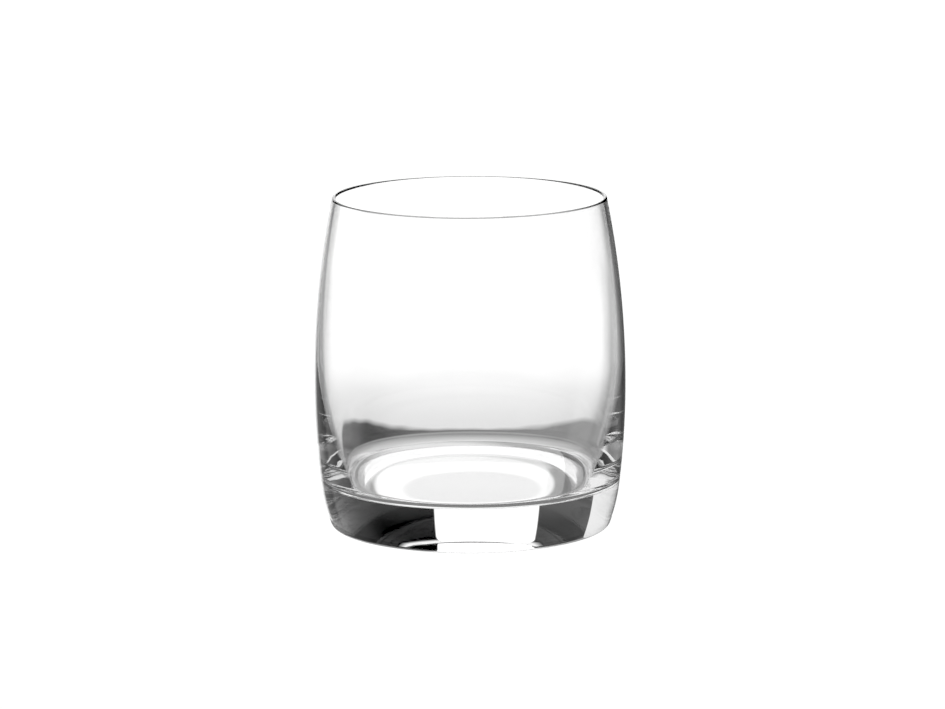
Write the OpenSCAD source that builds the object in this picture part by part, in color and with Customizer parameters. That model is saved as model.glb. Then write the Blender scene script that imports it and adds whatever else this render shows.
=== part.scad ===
// Barrel-shaped whisky tumbler of clear glass: a thin bowl over a thick solid foot.
// It is one blown piece, so the whole outline is turned about the Z axis in one go.
// The glass stands on Z = 0 with its axis on the origin.

/* [Outside of the glass] */
// Height from the table to the top of the rim
height = 90; // [80:1:100]
// Diameter at the widest place
widest_dia = 84.4; // [83:0.2:90]
// Height of the widest place above the table
widest_height = 38.5; // [34:0.5:44]
// Outside diameter of the rim
rim_dia = 74; // [68:0.5:78]
// Radius of the long curve of the wall below the widest place
lower_curve = 225; // [150:5:300]

/* [Outside of the foot] */
// Height at which the wall starts to turn in more sharply to the foot
foot_curve_top = 11; // [8:0.5:14]
// Radius of that sharper curve
foot_curve = 45; // [30:1:80]
// Radius of the small rounded heel between foot and resting ring
heel_radius = 1.6; // [1:0.1:3]

/* [Inside of the bowl] */
// Thickness of the fire-polished rim
rim_thickness = 1.1; // [0.9:0.1:1.8]
// Inside diameter at the widest place of the bowl
bowl_dia = 80.4; // [76.4:0.2:81.4]
// Height of the widest place of the bowl above the table
bowl_widest_height = 46; // [40:0.5:50]
// Radius of the curve of the inner wall below its widest place
inner_lower_curve = 110; // [90:5:250]
// Radius of the curve that joins the inner wall to the floor
floor_fillet = 4; // [2:0.5:10]

/* [Underside] */
// Thickness of the foot from the table to the flat floor of the bowl
foot_thickness = 11.8; // [8:0.1:15]
// Diameter of the hollow under the foot, inside the resting ring
hollow_dia = 62; // [50:1:64]
// Width of the curved border of the hollow
hollow_border = 5; // [3:0.5:8]
// Depth of the hollow
hollow_depth = 0.8; // [0.3:0.1:2]

/* [Hidden] */

// Sides of the turned body when it is shown as a mesh
turn_sides = 192;
// Straight steps in which a small, a medium and a long curve are drawn
short_steps = 4;
medium_steps = 9;
long_steps = 14;

// Outside wall: two arcs that share a vertical tangent at the widest place
widest_r = widest_dia / 2;
upper_curve = arc_radius(widest_r - rim_dia / 2, height - widest_height);
upper_centre = [widest_r - upper_curve, widest_height];
lower_centre = [widest_r - lower_curve, widest_height];

// Foot: a sharper arc that leaves the lower wall arc without a corner
foot_angle = -asin((widest_height - foot_curve_top) / lower_curve);
foot_centre = lower_centre + (lower_curve - foot_curve) * direction(foot_angle);

// Heel: tangent to the foot arc and to the table
heel_x = foot_centre.x + side(foot_curve - heel_radius, foot_centre.y - heel_radius);
heel_centre = [heel_x, heel_radius];
heel_angle = angle_of(heel_centre - foot_centre);

// Rim: a half-round bead, centred on the normal of the outside wall
bead_r = rim_thickness / 2;
rim_angle = asin((height - bead_r - widest_height) / (upper_curve - bead_r));
bead_centre = upper_centre + (upper_curve - bead_r) * direction(rim_angle);
inner_top = bead_centre - bead_r * direction(rim_angle);

// Inside wall: two more arcs with a vertical tangent at the widest place of the bowl
bowl_r = bowl_dia / 2;
inner_upper_curve = arc_radius(bowl_r - inner_top.x, inner_top.y - bowl_widest_height);
inner_upper_centre = [bowl_r - inner_upper_curve, bowl_widest_height];
inner_lower_centre = [bowl_r - inner_lower_curve, bowl_widest_height];

// Fillet: tangent to the inner wall and to the flat floor
fillet_y = foot_thickness + floor_fillet;
fillet_x = inner_lower_centre.x + side(inner_lower_curve - floor_fillet, bowl_widest_height - fillet_y);
fillet_centre = [fillet_x, fillet_y];
fillet_angle = angle_of(fillet_centre - inner_lower_centre);

// Underside: a flat hollow whose border curves down to the resting ring
ceiling_r = hollow_dia / 2 - hollow_border;
border_curve = arc_radius(hollow_depth, hollow_border);
border_centre = [ceiling_r, hollow_depth - border_curve];
border_angle = 90 - asin(hollow_border / border_curve);

// Radius of an arc that starts out square to the offset and moves it over the given run
function arc_radius(offset, run) = (offset * offset + run * run) / (2 * offset);

// Remaining side of a right-angled triangle
function side(long, short) = sqrt(long * long - short * short);

function direction(angle) = [cos(angle), sin(angle)];

function angle_of(v) = atan2(v.y, v.x);

function arc(centre, radius, from, to, steps) = [
    for (i = [0 : steps])
        centre + radius * direction(from + (to - from) * i / steps)];

// Points of a list without its first one, where the arc before it already ends
function after_first(points) = [for (i = [1 : len(points) - 1]) points[i]];

// Half section of the glass, counter-clockwise from the axis under the foot
function half_section() = concat(
    [[0, hollow_depth]],
    arc(border_centre, border_curve, 90, border_angle, short_steps),
    arc(heel_centre, heel_radius, -90, heel_angle, medium_steps),
    after_first(arc(foot_centre, foot_curve, heel_angle, foot_angle, medium_steps)),
    after_first(arc(lower_centre, lower_curve, foot_angle, 0, medium_steps)),
    after_first(arc(upper_centre, upper_curve, 0, rim_angle, long_steps)),
    after_first(arc(bead_centre, bead_r, rim_angle, 90, short_steps)),
    after_first(arc(bead_centre, bead_r, 90, rim_angle + 180, short_steps)),
    after_first(arc(inner_upper_centre, inner_upper_curve,
        angle_of(inner_top - inner_upper_centre), 0, long_steps)),
    after_first(arc(inner_lower_centre, inner_lower_curve, 0, fillet_angle, long_steps)),
    after_first(arc(fillet_centre, floor_fillet, fillet_angle, -90, medium_steps)),
    [[0, foot_thickness]]);

module tumbler()
    color("azure", 0.35)
    rotate_extrude($fn = turn_sides)
    polygon(half_section());

tumbler();
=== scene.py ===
"""Looks of a clear glass whisky tumbler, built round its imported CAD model. Metres, +Z up."""
import math

import bpy
import numpy as np
from mathutils import Matrix, Vector


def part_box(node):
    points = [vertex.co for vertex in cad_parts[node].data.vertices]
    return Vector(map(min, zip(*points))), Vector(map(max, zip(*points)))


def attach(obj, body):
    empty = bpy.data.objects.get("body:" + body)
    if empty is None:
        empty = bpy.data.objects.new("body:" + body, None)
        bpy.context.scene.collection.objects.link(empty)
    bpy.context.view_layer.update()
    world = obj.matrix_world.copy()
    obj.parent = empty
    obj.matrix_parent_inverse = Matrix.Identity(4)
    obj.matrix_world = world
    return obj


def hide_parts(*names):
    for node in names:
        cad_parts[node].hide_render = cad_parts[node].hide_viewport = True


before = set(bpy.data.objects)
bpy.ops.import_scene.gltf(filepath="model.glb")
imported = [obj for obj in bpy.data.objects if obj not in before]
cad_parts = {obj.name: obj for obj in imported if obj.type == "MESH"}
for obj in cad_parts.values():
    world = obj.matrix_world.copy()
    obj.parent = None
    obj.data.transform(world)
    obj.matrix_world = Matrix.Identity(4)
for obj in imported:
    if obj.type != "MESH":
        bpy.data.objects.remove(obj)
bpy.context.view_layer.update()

MM = 0.001

# ---------------------------------------------------------------- the glass's dimensions

GLASS_LO, GLASS_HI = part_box("tumbler")
HEIGHT = GLASS_HI.z - GLASS_LO.z
WIDEST_R = 42.2 * MM
WIDEST_Z = 38.5 * MM
RIM_R = 37.0 * MM
LOWER_CURVE = 225 * MM

FOOT_CURVE_TOP = 11.0 * MM
FOOT_CURVE = 45.0 * MM
HEEL_R = 1.6 * MM

RIM_THICKNESS = 1.1 * MM
BOWL_R = 40.2 * MM
BOWL_WIDEST_Z = 46.0 * MM
INNER_LOWER_CURVE = 110 * MM
FLOOR_FILLET = 4.0 * MM

FOOT_THICKNESS = 11.8 * MM
HOLLOW_R = 31.0 * MM
HOLLOW_BORDER = 5.0 * MM
HOLLOW_DEPTH = 0.8 * MM

# The turned surface: sides round the axis, the angle or length of one step along a curve, and
# the fewest steps that any curve has
SIDES = 384
ARC_STEP = math.radians(3.0)
LONG_STEP = 1.2 * MM
FEWEST_STEPS = 4

# The inside is a little uneven near the floor: how deep, and the height and radius where it fades out
RIPPLE = 0.07 * MM
RIPPLE_TOP = 30.0 * MM
RIPPLE_START_R = 30.0 * MM
# Each wave: its repeats round the glass, its drift in radians per metre of height, its share and phase
RIPPLE_WAVES = (
    (2, 60.0, 1.0, 3.9),
    (5, 150.0, 0.4, 1.9),
    (13, 380.0, 0.2, 4.1),
    (29, 610.0, 0.12, 2.7),
)

# ---------------------------------------------------------------- the half section


def vec(x, z):
    return np.array([x, z], float)


def angle_of(v):
    return math.atan2(v[1], v[0])


def direction(angle):
    return vec(math.cos(angle), math.sin(angle))


def arc(centre, radius, start, end):
    """Points along an arc, without its first one, close enough to look smooth."""
    turn = abs(end - start)
    steps = max(FEWEST_STEPS, math.ceil(turn / ARC_STEP), math.ceil(turn * radius / LONG_STEP))
    angles = np.linspace(start, end, steps + 1)[1:]
    return np.stack([centre[0] + radius * np.cos(angles), centre[1] + radius * np.sin(angles)], 1)


def arc_radius(offset, run):
    """Radius of an arc that starts square to the offset and moves it over the given run."""
    return (offset * offset + run * run) / (2 * offset)


def side(long, short):
    """Remaining side of a right-angled triangle."""
    return math.sqrt(long * long - short * short)


def half_section():
    """Outside of the outline from the axis under the foot to the rim, and inside from there back."""
    upper_curve = arc_radius(WIDEST_R - RIM_R, HEIGHT - WIDEST_Z)
    upper_centre = vec(WIDEST_R - upper_curve, WIDEST_Z)
    lower_centre = vec(WIDEST_R - LOWER_CURVE, WIDEST_Z)

    foot_angle = -math.asin((WIDEST_Z - FOOT_CURVE_TOP) / LOWER_CURVE)
    foot_centre = lower_centre + (LOWER_CURVE - FOOT_CURVE) * direction(foot_angle)
    heel_centre = vec(foot_centre[0] + side(FOOT_CURVE - HEEL_R, foot_centre[1] - HEEL_R), HEEL_R)
    heel_angle = angle_of(heel_centre - foot_centre)

    bead = RIM_THICKNESS / 2
    rim_angle = math.asin((HEIGHT - bead - WIDEST_Z) / (upper_curve - bead))
    bead_centre = upper_centre + (upper_curve - bead) * direction(rim_angle)
    inner_top = bead_centre - bead * direction(rim_angle)

    inner_upper_curve = arc_radius(BOWL_R - inner_top[0], inner_top[1] - BOWL_WIDEST_Z)
    inner_upper_centre = vec(BOWL_R - inner_upper_curve, BOWL_WIDEST_Z)
    inner_lower_centre = vec(BOWL_R - INNER_LOWER_CURVE, BOWL_WIDEST_Z)

    fillet_z = FOOT_THICKNESS + FLOOR_FILLET
    fillet_reach = side(INNER_LOWER_CURVE - FLOOR_FILLET, BOWL_WIDEST_Z - fillet_z)
    fillet_centre = vec(inner_lower_centre[0] + fillet_reach, fillet_z)
    fillet_angle = angle_of(fillet_centre - inner_lower_centre)

    border_curve = arc_radius(HOLLOW_DEPTH, HOLLOW_BORDER)
    border_centre = vec(HOLLOW_R - HOLLOW_BORDER, HOLLOW_DEPTH - border_curve)
    border_angle = math.pi / 2 - math.asin(HOLLOW_BORDER / border_curve)

    outside = [
        [vec(0, HOLLOW_DEPTH), vec(HOLLOW_R - HOLLOW_BORDER, HOLLOW_DEPTH)],
        arc(border_centre, border_curve, math.pi / 2, border_angle),
        [heel_centre - vec(0, HEEL_R)],
        arc(heel_centre, HEEL_R, -math.pi / 2, heel_angle),
        arc(foot_centre, FOOT_CURVE, heel_angle, foot_angle),
        arc(lower_centre, LOWER_CURVE, foot_angle, 0),
        arc(upper_centre, upper_curve, 0, rim_angle),
        arc(bead_centre, bead, rim_angle, math.pi / 2),
        arc(bead_centre, bead, math.pi / 2, rim_angle + math.pi),
    ]
    inside = [
        arc(inner_upper_centre, inner_upper_curve, angle_of(inner_top - inner_upper_centre), 0),
        arc(inner_lower_centre, INNER_LOWER_CURVE, 0, fillet_angle),
        arc(fillet_centre, FLOOR_FILLET, fillet_angle, -math.pi / 2),
        [vec(0, FOOT_THICKNESS)],
    ]
    return np.concatenate(outside), np.concatenate(inside)


def ripple(radius, z, around):
    """Outward shift of the inner surface: nothing on the flat of the floor or high on the wall."""
    below_top = np.clip((RIPPLE_TOP - z) / RIPPLE_TOP, 0, 1)
    off_floor = np.clip((radius - RIPPLE_START_R) / (BOWL_R - RIPPLE_START_R), 0, 1)
    waves = sum(
        share * np.sin(count * around + drift * z + phase)
        for count, drift, share, phase in RIPPLE_WAVES
    )
    return RIPPLE * (below_top * off_floor) * waves


def turned(name, outside, inside):
    """A closed turned body, rippled inside, whose first and last points lie on the Z axis."""
    rings = np.concatenate([outside, inside])[1:-1]
    around = np.arange(SIDES) * (2 * math.pi / SIDES)
    radius = np.repeat(rings[:, :1], SIDES, 1)
    z = np.repeat(rings[:, 1:], SIDES, 1)
    first_inside = len(outside) - 1
    radius[first_inside:] += ripple(radius[first_inside:], z[first_inside:], around)
    points = np.stack([radius * np.cos(around), radius * np.sin(around), z], -1)
    verts = [tuple(p) for p in points.reshape(-1, 3)]
    faces = []
    for ring in range(len(rings) - 1):
        for step in range(SIDES):
            after = (step + 1) % SIDES
            low, high = ring * SIDES, (ring + 1) * SIDES
            faces.append((low + step, low + after, high + after, high + step))
    bottom, top = len(verts), len(verts) + 1
    verts += [(0.0, 0.0, outside[0][1]), (0.0, 0.0, inside[-1][1])]
    last = (len(rings) - 1) * SIDES
    for step in range(SIDES):
        after = (step + 1) % SIDES
        faces.append((bottom, after, step))
        faces.append((top, last + step, last + after))
    mesh = bpy.data.meshes.new(name)
    mesh.from_pydata(verts, [], faces)
    mesh.shade_smooth()
    mesh.validate()
    piece = bpy.data.objects.new(name, mesh)
    bpy.context.scene.collection.objects.link(piece)
    return piece


# ---------------------------------------------------------------- materials


class Shader:
    """A new material and short ways to add and join its nodes."""

    def __init__(self, name):
        self.material = bpy.data.materials.new(name)
        self.material.use_nodes = True
        self.nodes = self.material.node_tree.nodes
        self.links = self.material.node_tree.links
        self.nodes.clear()
        self.out = self.nodes.new("ShaderNodeOutputMaterial")

    def put(self, socket, value):
        if isinstance(value, bpy.types.NodeSocket):
            self.links.new(value, socket)
        else:
            socket.default_value = value

    def node(self, kind, **inputs):
        node = self.nodes.new(kind)
        for name, value in inputs.items():
            self.put(node.inputs[name.replace("_", " ")], value)
        return node

    def maths(self, operation, *values):
        node = self.nodes.new("ShaderNodeMath")
        node.operation = operation
        for socket, value in zip(node.inputs, values):
            self.put(socket, value)
        return node.outputs[0]

    def where(self, output="Object"):
        """The X, Y and Z of the place that is shaded."""
        coords = self.nodes.new("ShaderNodeTexCoord")
        return self.node("ShaderNodeSeparateXYZ", Vector=coords.outputs[output]).outputs

    def glow(self, strength):
        self.material.cycles.emission_sampling = "NONE"
        return self.node("ShaderNodeEmission", Strength=strength).outputs["Emission"]

    def finished(self, surface):
        self.links.new(surface, self.out.inputs["Surface"])
        return self.material

    def between(self, value, low, high):
        """0 below low, 1 above high and a smooth rise from one to the other."""
        node = self.nodes.new("ShaderNodeMapRange")
        node.interpolation_type = "SMOOTHSTEP"
        for name, amount in (("Value", value), ("From Min", low), ("From Max", high)):
            self.put(node.inputs[name], amount)
        return node.outputs["Result"]

    def blend(self, share, a, b):
        node = self.nodes.new("ShaderNodeMix")
        self.put(node.inputs[0], share)
        self.put(node.inputs[2], a)
        self.put(node.inputs[3], b)
        return node.outputs[0]


# Clear glass: its index, the wave in its surface and the marks rubbed into it. Scales are per metre.
GLASS_IOR = 1.52
WAVE_SCALE, WAVE_STRENGTH, WAVE_DEPTH = 55.0, 0.02, 0.4 * MM
RUB_SCALE, RUB_DETAIL = 900.0, 4.0
# Noise level where a rubbed mark starts and where it is full, its roughness and how high it reaches
RUB_START, RUB_FULL = 0.5, 0.75
RUB_ROUGHNESS = 0.35
RUB_TOP = 0.25 * MM


def glass_material():
    """Clear glass: fire-polished, with a faint wave in its surface and a resting ring rubbed dull."""
    sh = Shader("clear_glass")
    place = sh.nodes.new("ShaderNodeTexCoord").outputs["Object"]
    height = sh.node("ShaderNodeSeparateXYZ", Vector=place).outputs["Z"]
    wave = sh.node("ShaderNodeTexNoise", Vector=place, Scale=WAVE_SCALE, Detail=1.0)
    bump = sh.node(
        "ShaderNodeBump", Height=wave.outputs["Fac"], Strength=WAVE_STRENGTH, Distance=WAVE_DEPTH,
    )
    rubs = sh.node("ShaderNodeTexNoise", Vector=place, Scale=RUB_SCALE, Detail=RUB_DETAIL)
    scuffs = sh.between(rubs.outputs["Fac"], RUB_START, RUB_FULL)
    on_table = sh.maths("SUBTRACT", 1.0, sh.between(height, 0.0, RUB_TOP))
    roughness = sh.maths("MULTIPLY", sh.maths("MULTIPLY", scuffs, on_table), RUB_ROUGHNESS)
    glass = sh.node(
        "ShaderNodeBsdfPrincipled", Base_Color=(1.0, 1.0, 1.0, 1.0), Transmission_Weight=1.0,
        IOR=GLASS_IOR, Roughness=roughness, Normal=bump.outputs["Normal"],
    )
    return sh.finished(glass.outputs["BSDF"])


def glow_material(name, strength):
    sh = Shader(name)
    return sh.finished(sh.glow(strength))


# Light that reaches the glass, by height above (+) or below (-) the horizon in degrees.
# Azimuth 0 is straight behind the glass and +90 is on its right.
BELOW = ((-90, 0.70), (-65, 0.70), (-43, 0.50), (-30, 0.22))
ABOVE = ((24, 1.0), (90, 1.0))
FRONT = ((-90, 0.05), (-40, 0.05), (-22, 0.95), (-7, 0.95), (0, 0.30), (14, 0.30), (25, 1.0))
PANEL = ((-20.15, 0.77), (-18, 0.84), (-16, 0.93), (-14.5, 1.05), (-12, 1.22), (90, 1.22))
# Each sector: the azimuth where it ends, how softly it does so, and its light from the nadir up
SECTORS = (
    (-110, 20, FRONT),
    (-78, 5, BELOW + ((-22, 0.72), (-8, 0.72), (-3, 0.15), (30, 0.15), (40, 1.0))),
    (-44, 0.25, BELOW + ((-25, 0.90), (90, 0.90))),
    (-19, 0.25, BELOW + ((-26, 0.42), (-8, 0.42), (-3, 0.07), (15, 0.05)) + ABOVE),
    (-0.5, 2, BELOW + ((-26, 0.35), (-23, 0.03), (-20.35, 0.03)) + PANEL),
    (9.5, 0.25, BELOW + ((-26, 0.35), (-23, 0.25), (-20.35, 0.25)) + PANEL),
    (32, 6, BELOW + ((-26, 0.22), (-8, 0.22), (-3, 0.0), (15, 0.0)) + ABOVE),
    (110, 20, BELOW + ((-22, 0.72), (-8, 0.72), (-3, 0.03), (30, 0.03), (40, 1.0))),
    (180, 0, FRONT),
)
# Below this height the sectors' edges are softer, by this many degrees
SOFT_BELOW = (-12, -5)
EXTRA_BLUR = 3.5
# The panel's light is taken higher up away from its middle, by this many degrees per degree squared,
# as far out as this azimuth
PANEL_SAG = 0.032
PANEL_REACH = 20
# Brightness that a ramp's white stands for
RAMP_TOP = 2.0


def studio_material():
    """A soft studio as a lit sphere: brightness by direction, in upright sectors."""
    sh = Shader("studio_light")
    coords = sh.nodes.new("ShaderNodeTexCoord")
    unit = sh.nodes.new("ShaderNodeVectorMath")
    unit.operation = "NORMALIZE"
    sh.links.new(coords.outputs["Object"], unit.inputs[0])
    x, y, z = sh.node("ShaderNodeSeparateXYZ", Vector=unit.outputs["Vector"]).outputs
    azimuth = sh.maths("DEGREES", sh.maths("ARCTAN2", x, y))
    height = sh.maths("DEGREES", sh.maths("ARCSINE", z))
    near_back = sh.maths("MINIMUM", sh.maths("MULTIPLY", azimuth, azimuth), PANEL_REACH**2)
    sagged = sh.maths("ADD", height, sh.maths("MULTIPLY", near_back, PANEL_SAG))
    low = sh.maths("SUBTRACT", 1.0, sh.between(height, *SOFT_BELOW))
    extra_blur = sh.maths("MULTIPLY", low, EXTRA_BLUR)
    light, start, blur = None, None, None
    for end, next_blur, stops in SECTORS:
        is_panel = stops[-len(PANEL):] == PANEL
        share = sh.maths("DIVIDE", sh.maths("ADD", sagged if is_panel else height, 90.0), 180.0)
        ramp = sh.node("ShaderNodeValToRGB", Fac=share)
        while len(ramp.color_ramp.elements) < len(stops):
            ramp.color_ramp.elements.new(0.5)
        for element, (angle, brightness) in zip(ramp.color_ramp.elements, stops):
            element.position = (angle + 90) / 180
            element.color = (brightness / RAMP_TOP,) * 3 + (1.0,)
        if light is None:
            light = ramp.outputs["Color"]
        else:
            reach = sh.maths("ADD", extra_blur, blur)
            first, last = sh.maths("SUBTRACT", start, reach), sh.maths("ADD", reach, start)
            passed = sh.between(azimuth, first, last)
            light = sh.blend(passed, light, ramp.outputs["Color"])
        start, blur = end, next_blur
    return sh.finished(sh.glow(sh.maths("MULTIPLY", light, RAMP_TOP)))


# Painted light and shade on the table under the foot, glowing in place of the light that comes through
# it: its strength outside the ellipses, and each ellipse's centre and radii in mm, soft share of the
# radius and strength
PAINTED_LIGHT_EDGE = 0.2
PAINTED_LIGHT_ELLIPSES = (
    ((-4, 12), (29, 30), 0.15, 0.70),
    ((-2, 0), (26.5, 28), 0.06, 1.10),
    ((0.5, -6), (21, 17.5), 0.16, 0.80),
)


def painted_light_table_material():
    """Painted light and shade on the table under the foot: glowing soft ellipses, one over the other.
    """
    sh = Shader("painted_light_table")
    where = sh.where()
    strength = PAINTED_LIGHT_EDGE
    for centre, radii, soft, brightness in PAINTED_LIGHT_ELLIPSES:
        squares = []
        for axis, middle, radius in zip("XY", centre, radii):
            off_middle = sh.maths("SUBTRACT", where[axis], middle * MM)
            share = sh.maths("DIVIDE", off_middle, radius * MM)
            squares.append(sh.maths("MULTIPLY", share, share))
        reach = sh.maths("SQRT", sh.maths("ADD", *squares))
        # Each ellipse glows as a painted pool of light, or as painted shade where it is dimmer than
        # what lies under it
        strength = sh.blend(sh.between(reach, 1 - soft, 1), brightness, strength)
    return sh.finished(sh.glow(strength))


# Share of the card's half size over which it fades out, and its strength
CARD_FADE = 0.35
CARD_STRENGTH = 1.15


def card_material():
    """A white card that fades out towards its edges."""
    sh = Shader("rim_card")
    where = sh.where("Generated")
    fades = []
    for axis in "XZ":
        off_middle = sh.maths("ABSOLUTE", sh.maths("SUBTRACT", where[axis], 0.5))
        fades.append(sh.maths("SUBTRACT", 1.0, sh.between(off_middle, 0.5 * (1 - CARD_FADE), 0.5)))
    clear = sh.nodes.new("ShaderNodeBsdfTransparent")
    mix = sh.nodes.new("ShaderNodeMixShader")
    shares = (sh.maths("MULTIPLY", *fades), clear.outputs["BSDF"], sh.glow(CARD_STRENGTH))
    for socket, value in zip(mix.inputs, shares):
        sh.put(socket, value)
    return sh.finished(mix.outputs["Shader"])


# ---------------------------------------------------------------- stage

# Sides round the stage's discs and sphere, and rows up the sphere
STAGE_SIDES, STAGE_ROWS = 96, 48
# Strength of the white that the camera sees as floor and background
WHITE = 1.05
FLOOR_RADIUS, STUDIO_RADIUS = 20.0, 30.0
# How far the floor lies below the foot, and the radius of the glowing disc of painted light under it
FLOOR_GAP = 0.3 * MM
PAINTED_LIGHT_R = 40 * MM
# The card behind the upper half: its place, its half width and the heights that it spans
CARD_Y, CARD_HALF = 55 * MM, 37 * MM
CARD_LOW, CARD_HIGH = 50 * MM, 96 * MM


def stage_object(name, verts, faces, material, camera, glass):
    """A stage piece that the camera sees directly, or that is seen in and through the glass."""
    mesh = bpy.data.meshes.new(name)
    mesh.from_pydata(verts, [], faces)
    mesh.materials.append(material)
    thing = bpy.data.objects.new(name, mesh)
    bpy.context.scene.collection.objects.link(thing)
    thing.visible_camera = camera
    thing.visible_transmission = glass
    thing.visible_glossy = glass
    thing.visible_shadow = False
    return thing


def disc(name, z, radius, material, camera, glass):
    """A flat disc round the Z axis."""
    verts = [(0, 0, z)]
    for i in range(STAGE_SIDES):
        a = 2 * math.pi * i / STAGE_SIDES
        verts.append((radius * math.cos(a), radius * math.sin(a), z))
    faces = [(0, i + 1, (i + 1) % STAGE_SIDES + 1) for i in range(STAGE_SIDES)]
    return stage_object(name, verts, faces, material, camera, glass)


def sphere(name, radius, material):
    """A sphere round the origin that is seen only in and through the glass."""
    verts, faces = [], []
    for row in range(STAGE_ROWS + 1):
        up = math.pi * (row / STAGE_ROWS - 0.5)
        for i in range(STAGE_SIDES):
            a = 2 * math.pi * i / STAGE_SIDES
            out = radius * math.cos(up)
            verts.append((out * math.cos(a), out * math.sin(a), radius * math.sin(up)))
    for row in range(STAGE_ROWS):
        low, high = row * STAGE_SIDES, (row + 1) * STAGE_SIDES
        for i in range(STAGE_SIDES):
            after = (i + 1) % STAGE_SIDES
            faces.append((low + i, low + after, high + after, high + i))
    return stage_object(name, verts, faces, material, False, True)


# ---------------------------------------------------------------- build

tumbler = turned("tumbler_glass", *half_section())
tumbler.data.materials.append(glass_material())
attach(tumbler, "root")
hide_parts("tumbler")

# The camera sees a white floor. Through the foot it sees a glowing disc of painted light and shade
# instead.
disc("floor", -FLOOR_GAP, FLOOR_RADIUS, glow_material("floor_white", WHITE), True, False)
disc("painted_light_table", -0.5 * FLOOR_GAP, PAINTED_LIGHT_R, painted_light_table_material(), False, True)
sphere("studio", STUDIO_RADIUS, studio_material())
# A white card close behind the upper half lightens the back of the rim
card_corners = [(x, CARD_Y, z) for z, x in (
    (CARD_LOW, -CARD_HALF), (CARD_LOW, CARD_HALF), (CARD_HIGH, CARD_HALF), (CARD_HIGH, -CARD_HALF)
)]
stage_object("rim_card", card_corners, [(0, 1, 2, 3)], card_material(), False, True)

world = bpy.data.worlds.new("white")
world.use_nodes = True
background = world.node_tree.nodes["Background"]
background.inputs["Color"].default_value = (1, 1, 1, 1)
background.inputs["Strength"].default_value = WHITE
bpy.context.scene.world = world

# ---------------------------------------------------------------- camera

CAMERA_DISTANCE = 1.25
CAMERA_ELEVATION = math.radians(10.69)
CAMERA_ROLL = math.radians(-0.23)
SENSOR_WIDTH = 36
# Focal length in mm for each metre of distance, which keeps the glass the same size in the picture
LENS_PER_METRE = 140.6
AIM_OFFSET = Vector((0.65 * MM, 0, 1.62 * MM))
# Lightest grey that is shown as black
BLACK_LEVEL = 0.03
# Times that light may pass on, in all and through glass, and by reflection or through the card
MOST_BOUNCES, OTHER_BOUNCES = 24, 12

aim = (GLASS_LO + GLASS_HI) / 2 + AIM_OFFSET
back = Vector((0, -math.cos(CAMERA_ELEVATION), math.sin(CAMERA_ELEVATION)))
camera_data = bpy.data.cameras.new("camera")
camera_data.sensor_width = SENSOR_WIDTH
camera_data.lens = LENS_PER_METRE * CAMERA_DISTANCE
camera = bpy.data.objects.new("camera", camera_data)
camera.location = aim + back * CAMERA_DISTANCE
camera.rotation_mode = "QUATERNION"
roll = Matrix.Rotation(CAMERA_ROLL, 4, "Z").to_quaternion()
camera.rotation_quaternion = (-back).to_track_quat("-Z", "Y") @ roll
bpy.context.scene.collection.objects.link(camera)
scene = bpy.context.scene
scene.camera = camera
scene.view_settings.view_transform = "Standard"
scene.view_settings.use_curve_mapping = True
scene.view_settings.curve_mapping.black_level = (BLACK_LEVEL, BLACK_LEVEL, BLACK_LEVEL)
scene.cycles.max_bounces = MOST_BOUNCES
scene.cycles.transmission_bounces = MOST_BOUNCES
scene.cycles.glossy_bounces = OTHER_BOUNCES
scene.cycles.transparent_max_bounces = OTHER_BOUNCES
